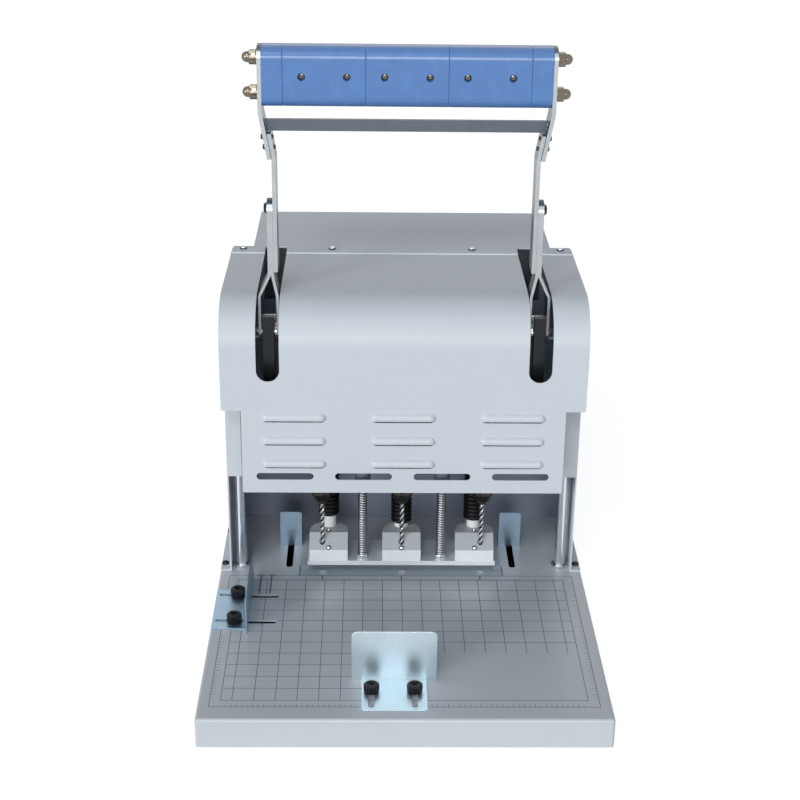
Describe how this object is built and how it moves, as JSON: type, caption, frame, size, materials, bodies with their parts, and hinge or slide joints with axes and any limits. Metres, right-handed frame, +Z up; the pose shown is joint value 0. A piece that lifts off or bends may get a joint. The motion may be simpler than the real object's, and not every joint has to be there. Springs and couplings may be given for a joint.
{
  "type": "paper drill",
  "caption": "Desk-top paper drill: a lever handle lowers belt-driven bits through paper that a sprung presser holds, with guides, stops and dust suction.",
  "frame": {"origin": "centre of the base, on the surface that the rubber feet stand on", "axes": "+X to the operator's right, +Y from the operator to the back, +Z up"},
  "size_m": [0.383, 0.5671, 0.587],
  "materials": {
    "light_paint": "fine textured light grey paint",
    "base_paint": "satin blue-grey paint with a dark printed grid",
    "dark_paint": "dark grey paint",
    "zinc": "bright zinc plate",
    "arm_steel": "grey plated steel",
    "bright_steel": "ground and polished steel",
    "drill_steel": "hardened tool steel",
    "black_steel": "black oxide",
    "blue_grip": "gloss blue",
    "black_plastic": "moulded black",
    "white_plastic": "moulded white",
    "black_rubber": "soft black",
    "cast_alloy": "machined",
    "bronze": "sintered bronze",
    "red_switch": "moulded dark red"
  },
  "bodies": {
    "root": {"base_pan": "base_paint", "rubber_feet": "black_rubber", "die_plate": "zinc", "cutting_pads": "white_plastic", "frame_screws": "black_steel", "side_plates": "light_paint", "back_panel": "dark_paint", "guide_columns": "bright_steel", "column_nuts": "zinc", "front_cover": "light_paint", "rear_cover": "light_paint", "cover_screws": "zinc", "shaft_bearings": "cast_alloy", "suction_manifold": "black_plastic", "vacuum_motor": "black_plastic", "power_inlet": "black_plastic", "suction_hoses": "black_rubber"},
    "handle": {"handle_shaft": "bright_steel", "pinions": "drill_steel", "lever_forks": "arm_steel", "handle_arms": "arm_steel", "handle_yoke": "arm_steel", "arm_bolts": "black_steel", "grip_rods": "zinc", "acorn_nuts": "bright_steel", "grip_end_caps": "blue_grip", "grip_segments": "blue_grip", "grip_screws": "zinc"},
    "carriage": {"carriage_beam": "cast_alloy", "slide_bushes": "bronze", "racks": "drill_steel", "spindle_housings": "zinc", "drive_motor": "dark_paint", "drive_belt": "black_rubber"},
    "motor_pulley": {"motor_pulley": "cast_alloy"},
    "presser": {"presser_plate": "zinc", "suction_hoods": "white_plastic", "presser_fasteners": "zinc", "hose_fittings": "white_plastic", "presser_rods": "bright_steel", "presser_springs": "bright_steel"},
    "side_guide": {"side_guide_bracket": "zinc"},
    "side_guide_knob_front": {"side_guide_knob_front": "black_plastic"},
    "side_guide_knob_rear": {"side_guide_knob_rear": "black_plastic"},
    "front_stop": {"front_stop_bracket": "zinc"},
    "front_stop_knob_left": {"front_stop_knob_left": "black_plastic"},
    "front_stop_knob_right": {"front_stop_knob_right": "black_plastic"},
    "back_stop_left": {"back_stop_left": "zinc"},
    "back_stop_right": {"back_stop_right": "zinc"},
    "power_rocker": {"power_rocker": "red_switch"},
    "dust_drawer": {"dust_drawer": "light_paint"},
    "spindle_left": {"spindle_left": "drill_steel", "chuck_left": "drill_steel", "drill_bit_left": "drill_steel"},
    "spindle_middle": {"spindle_middle": "drill_steel", "chuck_middle": "drill_steel", "drill_bit_middle": "drill_steel"},
    "spindle_right": {"spindle_right": "drill_steel", "chuck_right": "drill_steel", "drill_bit_right": "drill_steel"}
  },
  "joints": [
    {"name": "handle_swing", "type": "hinge", "parent": "root", "child": "handle", "pos_m": [0, 0.01, 0.3], "axis": [1, 0, 0], "range_deg": [-62, 60]},
    {"name": "carriage_slide", "type": "slide", "parent": "root", "child": "carriage", "axis": [0, 0, 1], "range_m": [-0.0158, 0.0163], "deforming": ["presser_springs"]},
    {"name": "presser_slide", "type": "slide", "parent": "root", "child": "presser", "axis": [0, 0, 1], "range_m": [-0.0137, 0.0141], "deforming": ["suction_hoses"]},
    {"name": "motor_spin", "type": "hinge", "parent": "carriage", "child": "motor_pulley", "pos_m": [0, 0.062, 0.211], "axis": [0, 0, 1], "continuous": true},
    {"name": "spindle_left_spin", "type": "hinge", "parent": "carriage", "child": "spindle_left", "pos_m": [-0.083, -0.017, 0.18], "axis": [0, 0, 1], "continuous": true},
    {"name": "spindle_middle_spin", "type": "hinge", "parent": "carriage", "child": "spindle_middle", "pos_m": [0, -0.017, 0.18], "axis": [0, 0, 1], "continuous": true},
    {"name": "spindle_right_spin", "type": "hinge", "parent": "carriage", "child": "spindle_right", "pos_m": [0.083, -0.017, 0.18], "axis": [0, 0, 1], "continuous": true},
    {"name": "side_guide_slide", "type": "slide", "parent": "root", "child": "side_guide", "axis": [1, 0, 0], "range_m": [0, 0.036]},
    {"name": "side_guide_knob_front_turn", "type": "hinge", "parent": "side_guide", "child": "side_guide_knob_front", "pos_m": [-0.1685, -0.116, 0.045], "axis": [0, 0, 1], "continuous": true},
    {"name": "side_guide_knob_rear_turn", "type": "hinge", "parent": "side_guide", "child": "side_guide_knob_rear", "pos_m": [-0.1685, -0.066, 0.045], "axis": [0, 0, 1], "continuous": true},
    {"name": "front_stop_slide", "type": "slide", "parent": "root", "child": "front_stop", "axis": [0, 1, 0], "range_m": [-0.009, 0.023]},
    {"name": "front_stop_knob_left_turn", "type": "hinge", "parent": "root", "child": "front_stop_knob_left", "pos_m": [-0.03105, -0.24, 0.045], "axis": [0, 0, 1], "continuous": true},
    {"name": "front_stop_knob_right_turn", "type": "hinge", "parent": "root", "child": "front_stop_knob_right", "pos_m": [0.00925, -0.24, 0.045], "axis": [0, 0, 1], "continuous": true},
    {"name": "back_stop_left_slide", "type": "slide", "parent": "root", "child": "back_stop_left", "axis": [0, 1, 0], "range_m": [-0.045, 0]},
    {"name": "back_stop_right_slide", "type": "slide", "parent": "root", "child": "back_stop_right", "axis": [0, 1, 0], "range_m": [-0.045, 0]},
    {"name": "power_rocker_tip", "type": "hinge", "parent": "root", "child": "power_rocker", "pos_m": [-0.125, 0.2805, 0.129], "axis": [1, 0, 0], "range_deg": [-12, 0]},
    {"name": "dust_drawer_slide", "type": "slide", "parent": "root", "child": "dust_drawer", "axis": [0, 1, 0], "range_m": [0, 0.12]}
  ],
  "couplings": [
    {"joint": "carriage_slide", "follows": "handle_swing", "m_per_rad": -0.015},
    {"joint": "presser_slide", "follows": "handle_swing", "m_per_rad": -0.013},
    {"joint": "spindle_left_spin", "follows": "motor_spin", "ratio": 1},
    {"joint": "spindle_middle_spin", "follows": "motor_spin", "ratio": 1},
    {"joint": "spindle_right_spin", "follows": "motor_spin", "ratio": 1}
  ]
}
